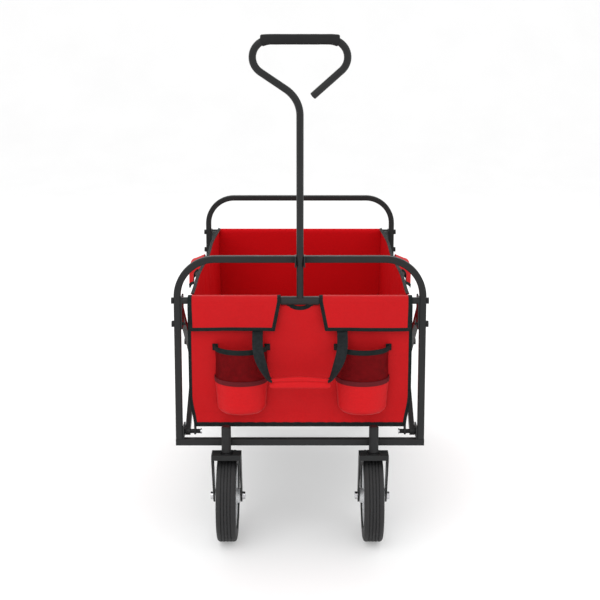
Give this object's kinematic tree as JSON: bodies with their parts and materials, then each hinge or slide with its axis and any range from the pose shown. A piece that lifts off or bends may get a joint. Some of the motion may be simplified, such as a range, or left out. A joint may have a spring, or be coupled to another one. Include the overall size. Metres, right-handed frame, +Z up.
{
  "type": "folding utility wagon",
  "caption": "Folding fabric wagon with a red basket on a black scissor frame, swivel front casters, cup pockets and a looped pull handle.",
  "frame": {"origin": "centre of the bounding box in X and Y, at the ground under the wheels, opened for use with the handle in its clip", "axes": "+X to the right seen from the front, -Y towards the front where the handle is, +Z up"},
  "size_m": [0.532, 1.0248, 1.0439],
  "materials": {
    "frame_paint": "dark grey powder coat",
    "link_paint": "dark grey powder coat",
    "bolt_black": "black coated steel",
    "bright_metal": "bright plating",
    "black_plastic": "moulded, fine grain",
    "socket_steel": "rough black coat",
    "red_fabric": "coated polyester weave",
    "black_webbing": "ribbed webbing",
    "grip_foam": "closed-cell foam",
    "tyre_black": "ribbed tread",
    "rim_grey": "light grey moulding"
  },
  "bodies": {
    "front_frame": {"front_arch": "frame_paint", "front_bottom_bar": "frame_paint", "front_cross_tube": "frame_paint", "front_frame_bolts": "bolt_black", "front_leg_brackets": "frame_paint", "front_floor_tube": "frame_paint", "front_pivot_shafts": "bolt_black", "shaft_caps": "bright_metal", "handle_clip": "black_plastic", "caster_sockets": "socket_steel", "socket_caps": "black_plastic", "front_panel": "red_fabric", "front_flap": "red_fabric", "cup_pocket_left": "red_fabric", "cup_pocket_right": "red_fabric", "carry_handle": "black_webbing", "side_wall_left": "red_fabric", "side_wall_right": "red_fabric", "basket_floor": "red_fabric"},
    "front_rising_links": {"front_rising_bars": "link_paint", "front_crossing_bolts": "bolt_black"},
    "front_falling_links": {"front_falling_bars": "link_paint", "front_saddle_pins": "bolt_black", "middle_cross_tube": "frame_paint"},
    "top_joints": {"top_joint_bolts": "bolt_black", "joint_cover_left": "red_fabric", "joint_cover_right": "red_fabric"},
    "rear_falling_links": {"rear_falling_bars": "link_paint", "rear_crossing_bolts": "bolt_black"},
    "rear_rising_links": {"rear_rising_bars": "link_paint", "rear_saddle_pins": "bolt_black"},
    "rear_frame": {"rear_arch": "frame_paint", "rear_bottom_bar": "frame_paint", "rear_cross_tube": "frame_paint", "rear_frame_bolts": "bolt_black", "rear_leg_brackets": "frame_paint", "rear_floor_tube": "frame_paint", "rear_pivot_shafts": "bolt_black", "rear_forks": "frame_paint", "rear_axles": "bright_metal", "rear_panel": "red_fabric"},
    "handle": {"handle_tube": "frame_paint", "handle_sleeve": "frame_paint", "handle_grip": "grip_foam", "handle_end_plug": "black_plastic"},
    "caster_left": {"caster_fork_left": "frame_paint", "caster_stem_left": "bolt_black", "caster_axle_left": "bright_metal"},
    "caster_right": {"caster_fork_right": "frame_paint", "caster_stem_right": "bolt_black", "caster_axle_right": "bright_metal"},
    "front_left_wheel": {"front_left_tyre": "tyre_black", "front_left_wheel_rim": "rim_grey"},
    "front_right_wheel": {"front_right_tyre": "tyre_black", "front_right_wheel_rim": "rim_grey"},
    "rear_left_wheel": {"rear_left_tyre": "tyre_black", "rear_left_wheel_rim": "rim_grey"},
    "rear_right_wheel": {"rear_right_tyre": "tyre_black", "rear_right_wheel_rim": "rim_grey"}
  },
  "joints": [
    {"name": "fold", "type": "hinge", "parent": "front_frame", "child": "front_rising_links", "pos_m": [0, -0.37358, 0.234], "axis": [1, 0, 0], "range_deg": [0, 42], "deforming": ["side_wall_left", "side_wall_right", "basket_floor"]},
    {"name": "front_crossing", "type": "hinge", "parent": "front_rising_links", "child": "front_falling_links", "pos_m": [0, -0.18208, 0.372], "axis": [1, 0, 0], "range_deg": [-84, 0]},
    {"name": "top_joint_turn", "type": "hinge", "parent": "front_rising_links", "child": "top_joints", "pos_m": [0, 0.00942, 0.51], "axis": [1, 0, 0], "range_deg": [-42, 0]},
    {"name": "top_joint_scissor", "type": "hinge", "parent": "front_rising_links", "child": "rear_falling_links", "pos_m": [0, 0.00942, 0.51], "axis": [1, 0, 0], "range_deg": [-84, 0]},
    {"name": "rear_crossing", "type": "hinge", "parent": "rear_falling_links", "child": "rear_rising_links", "pos_m": [0, 0.20092, 0.372], "axis": [1, 0, 0], "range_deg": [0, 84]},
    {"name": "rear_frame_turn", "type": "hinge", "parent": "rear_falling_links", "child": "rear_frame", "pos_m": [0, 0.39242, 0.234], "axis": [1, 0, 0], "range_deg": [0, 42]},
    {"name": "handle_swing", "type": "hinge", "parent": "front_frame", "child": "handle", "pos_m": [0, -0.39058, 0.514], "axis": [1, 0, 0], "range_deg": [0, 115]},
    {"name": "caster_left_swivel", "type": "hinge", "parent": "front_frame", "child": "caster_left", "pos_m": [-0.15, -0.40858, 0.228], "axis": [0, 0, 1], "continuous": true},
    {"name": "front_left_spin", "type": "hinge", "parent": "caster_left", "child": "front_left_wheel", "pos_m": [-0.15, -0.37058, 0.093], "axis": [1, 0, 0], "continuous": true},
    {"name": "rear_left_spin", "type": "hinge", "parent": "rear_frame", "child": "rear_left_wheel", "pos_m": [-0.15, 0.41942, 0.093], "axis": [1, 0, 0], "continuous": true},
    {"name": "caster_right_swivel", "type": "hinge", "parent": "front_frame", "child": "caster_right", "pos_m": [0.15, -0.40858, 0.228], "axis": [0, 0, 1], "continuous": true},
    {"name": "front_right_spin", "type": "hinge", "parent": "caster_right", "child": "front_right_wheel", "pos_m": [0.15, -0.37058, 0.093], "axis": [1, 0, 0], "continuous": true},
    {"name": "rear_right_spin", "type": "hinge", "parent": "rear_frame", "child": "rear_right_wheel", "pos_m": [0.15, 0.41942, 0.093], "axis": [1, 0, 0], "continuous": true}
  ],
  "couplings": [
    {"joint": "front_crossing", "follows": "fold", "ratio": -2},
    {"joint": "top_joint_turn", "follows": "fold", "ratio": -1},
    {"joint": "top_joint_scissor", "follows": "fold", "ratio": -2},
    {"joint": "rear_crossing", "follows": "fold", "ratio": 2},
    {"joint": "rear_frame_turn", "follows": "fold", "ratio": 1}
  ]
}
